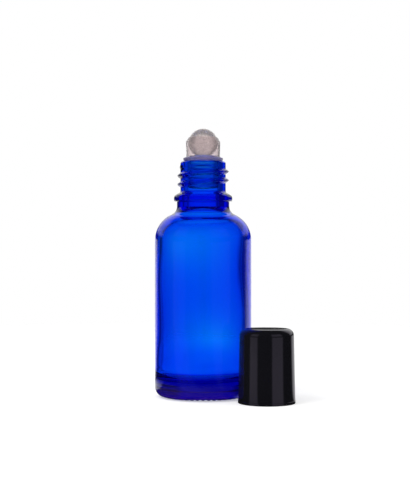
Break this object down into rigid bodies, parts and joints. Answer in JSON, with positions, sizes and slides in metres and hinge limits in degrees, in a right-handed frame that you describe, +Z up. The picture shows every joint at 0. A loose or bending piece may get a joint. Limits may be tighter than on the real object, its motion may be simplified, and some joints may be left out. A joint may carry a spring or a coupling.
{
  "type": "roll-on bottle",
  "caption": "Round cobalt blue glass bottle with a plug-in roller housing and free ball in its screw neck, and its glossy black screw cap standing beside it.",
  "frame": {"origin": "on the table, in the middle of the ground that the bottle and the cap beside it cover together", "axes": "+Z up along the bottle's axis; the cap stands to the bottle's +X and -Y side, and the front of the picture faces -Y"},
  "size_m": [0.047, 0.0422, 0.0917],
  "materials": {
    "cobalt_glass": "clear cobalt blue, smooth and glossy",
    "natural_plastic": "uncoloured, translucent, satin",
    "frosted_ball": "frosted, milky, translucent",
    "black_plastic": "smooth, high gloss"
  },
  "bodies": {
    "bottle": {"glass_bottle": "cobalt_glass"},
    "housing": {"roller_housing": "natural_plastic"},
    "ball": {"roller_ball": "frosted_ball"},
    "cap": {"cap": "black_plastic"}
  },
  "joints": [
    {"name": "housing_pull", "type": "slide", "parent": "bottle", "child": "housing", "axis": [0, 0, 1], "range_m": [0, 0.012]},
    {"name": "ball_roll", "type": "hinge", "parent": "housing", "child": "ball", "pos_m": [-0.00695, 0.0046, 0.08666], "axis": [1, 0, 0], "continuous": true},
    {"name": "cap_lift", "type": "slide", "parent": "bottle", "child": "cap", "axis": [0, 0, 1], "range_m": [0, 0.1]}
  ]
}
